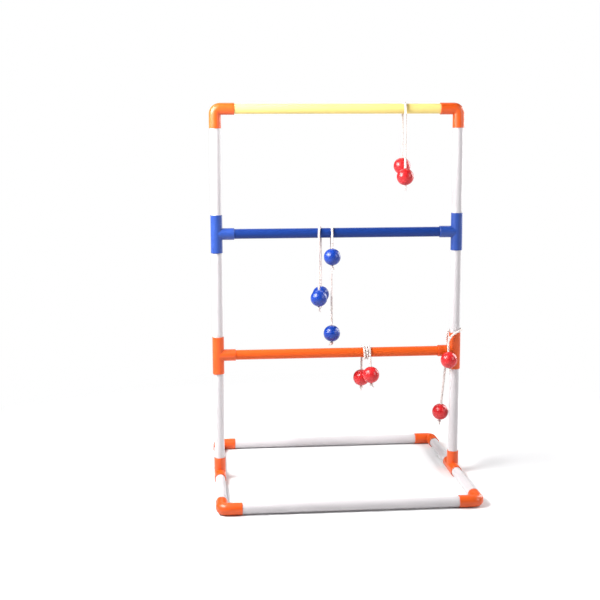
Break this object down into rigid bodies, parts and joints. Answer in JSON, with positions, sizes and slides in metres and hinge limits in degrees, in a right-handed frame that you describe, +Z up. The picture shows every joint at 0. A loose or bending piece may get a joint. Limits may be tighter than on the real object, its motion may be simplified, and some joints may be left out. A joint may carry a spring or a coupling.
{
  "type": "ladder toss frame",
  "caption": "Free-standing push-fit tube ladder with coloured rungs on a rectangular base, with bolas of two balls on a cord draped and wound on the rungs.",
  "frame": {"origin": "on the floor under the middle of the frame, midway between the two uprights and between the front and rear rails", "axes": "+Z up the ladder, +Y from the front rail to the rear rail, +X to the right seen from the front, along the rungs"},
  "size_m": [0.6497, 0.5806, 0.9698],
  "materials": {
    "orange_fitting": "moulded orange plastic, satin gloss",
    "blue_fitting": "moulded blue plastic, satin gloss",
    "orange_tube": "extruded orange plastic tube",
    "blue_tube": "extruded blue plastic tube",
    "yellow_tube": "extruded pale yellow plastic tube",
    "white_tube": "extruded white plastic tube",
    "red_ball": "dimpled red ball, high gloss",
    "blue_ball": "dimpled blue ball, high gloss",
    "cord": "twisted white cord with beige flecks"
  },
  "bodies": {
    "base": {"base_elbow_front_left": "orange_fitting", "base_elbow_front_right": "orange_fitting", "base_elbow_rear_left": "orange_fitting", "base_elbow_rear_right": "orange_fitting", "base_tee_left": "orange_fitting", "base_tee_right": "orange_fitting", "base_rail_front": "white_tube", "base_rail_rear": "white_tube", "side_rail_front_left": "white_tube", "side_rail_front_right": "white_tube", "side_rail_rear_left": "white_tube", "side_rail_rear_right": "white_tube"},
    "lower_tier": {"upright_lower_left": "white_tube", "upright_lower_right": "white_tube", "lower_tee_left": "orange_fitting", "lower_tee_right": "orange_fitting", "rung_lower": "orange_tube", "cord_5_wrap": "cord", "knot_5_front": "cord"},
    "middle_tier": {"upright_middle_left": "white_tube", "upright_middle_right": "white_tube", "middle_tee_left": "blue_fitting", "middle_tee_right": "blue_fitting", "rung_middle": "blue_tube"},
    "top_tier": {"upright_upper_left": "white_tube", "upright_upper_right": "white_tube", "top_elbow_left": "orange_fitting", "top_elbow_right": "orange_fitting", "rung_top": "yellow_tube"},
    "bola_1": {"cord_1": "cord", "knot_1_front": "cord", "knot_1_rear": "cord"},
    "bola_2": {"cord_2": "cord", "knot_2_front": "cord", "knot_2_rear": "cord"},
    "bola_3": {"cord_3": "cord", "knot_3_front": "cord", "knot_3_rear": "cord"},
    "bola_4": {"cord_4": "cord", "knot_4_front": "cord", "knot_4_rear": "cord"},
    "bola_5_strand": {"cord_5_strand": "cord", "knot_5_rear": "cord"},
    "ball_1_front": {"ball_1_front": "red_ball"},
    "ball_1_rear": {"ball_1_rear": "red_ball"},
    "ball_2_front": {"ball_2_front": "blue_ball"},
    "ball_2_rear": {"ball_2_rear": "blue_ball"},
    "ball_3_front": {"ball_3_front": "blue_ball"},
    "ball_3_rear": {"ball_3_rear": "blue_ball"},
    "ball_4_front": {"ball_4_front": "red_ball"},
    "ball_4_rear": {"ball_4_rear": "red_ball"},
    "ball_5_front": {"ball_5_front": "red_ball"},
    "ball_5_rear": {"ball_5_rear": "red_ball"}
  },
  "joints": [
    {"name": "lower_tier_lift", "type": "slide", "parent": "base", "child": "lower_tier", "axis": [0, 0, 1], "range_m": [0, 0.04]},
    {"name": "middle_tier_lift", "type": "slide", "parent": "lower_tier", "child": "middle_tier", "axis": [0, 0, 1], "range_m": [0, 0.04]},
    {"name": "top_tier_lift", "type": "slide", "parent": "middle_tier", "child": "top_tier", "axis": [0, 0, 1], "range_m": [0, 0.04]},
    {"name": "bola_1_swing", "type": "hinge", "parent": "top_tier", "child": "bola_1", "pos_m": [0.168, 0, 0.9508], "axis": [1, 0, 0], "range_deg": [-60, 60]},
    {"name": "bola_2_swing", "type": "hinge", "parent": "middle_tier", "child": "bola_2", "pos_m": [-0.04575, 0, 0.6398], "axis": [1, 0, 0], "range_deg": [-60, 60]},
    {"name": "bola_3_swing", "type": "hinge", "parent": "middle_tier", "child": "bola_3", "pos_m": [-0.0155, 0, 0.6398], "axis": [1, 0, 0], "range_deg": [-60, 60]},
    {"name": "bola_4_swing", "type": "hinge", "parent": "lower_tier", "child": "bola_4", "pos_m": [0.07175, 0, 0.3288], "axis": [1, 0, 0], "range_deg": [-60, 60]},
    {"name": "bola_5_strand_swing", "type": "hinge", "parent": "lower_tier", "child": "bola_5_strand", "pos_m": [0.29249, 0.0194, 0.3258], "axis": [1, 0, 0], "range_deg": [-1, 60]},
    {"name": "ball_1_front_spin", "type": "hinge", "parent": "bola_1", "child": "ball_1_front", "pos_m": [0.169, -0.0176, 0.7808], "axis": [0.001, -0.0092, -1], "continuous": true},
    {"name": "ball_1_rear_spin", "type": "hinge", "parent": "bola_1", "child": "ball_1_rear", "pos_m": [0.167, 0.0176, 0.8068], "axis": [-0.0011, 0.0108, -0.9999], "continuous": true},
    {"name": "ball_2_front_spin", "type": "hinge", "parent": "bola_2", "child": "ball_2_front", "pos_m": [-0.0505, -0.02131, 0.4753], "axis": [-0.0047, -0.0315, -0.9995], "continuous": true},
    {"name": "ball_2_rear_spin", "type": "hinge", "parent": "bola_2", "child": "ball_2_rear", "pos_m": [-0.0412, 0.02131, 0.4792], "axis": [0.0036, 0.0322, -0.9995], "continuous": true},
    {"name": "ball_3_front_spin", "type": "hinge", "parent": "bola_3", "child": "ball_3_front", "pos_m": [-0.016, -0.0165, 0.5798], "axis": [-0.0013, -0.0078, -1], "continuous": true},
    {"name": "ball_3_rear_spin", "type": "hinge", "parent": "bola_3", "child": "ball_3_rear", "pos_m": [-0.013, 0.0165, 0.3768], "axis": [0.0078, 0.0019, -1], "continuous": true},
    {"name": "ball_4_front_spin", "type": "hinge", "parent": "bola_4", "child": "ball_4_front", "pos_m": [0.085, -0.01808, 0.2723], "axis": [0.0459, -0.0342, -0.9984], "continuous": true},
    {"name": "ball_4_rear_spin", "type": "hinge", "parent": "bola_4", "child": "ball_4_rear", "pos_m": [0.065, 0.01808, 0.2578], "axis": [-0.0039, 0.0277, -0.9996], "continuous": true},
    {"name": "ball_5_front_spin", "type": "hinge", "parent": "lower_tier", "child": "ball_5_front", "pos_m": [0.2859, -0.03187, 0.3098], "axis": [0.0239, -0.2993, -0.9539], "continuous": true},
    {"name": "ball_5_rear_spin", "type": "hinge", "parent": "bola_5_strand", "child": "ball_5_rear", "pos_m": [0.27664, 0.0194, 0.16], "axis": [-0.0952, 0, -0.9955], "continuous": true}
  ]
}
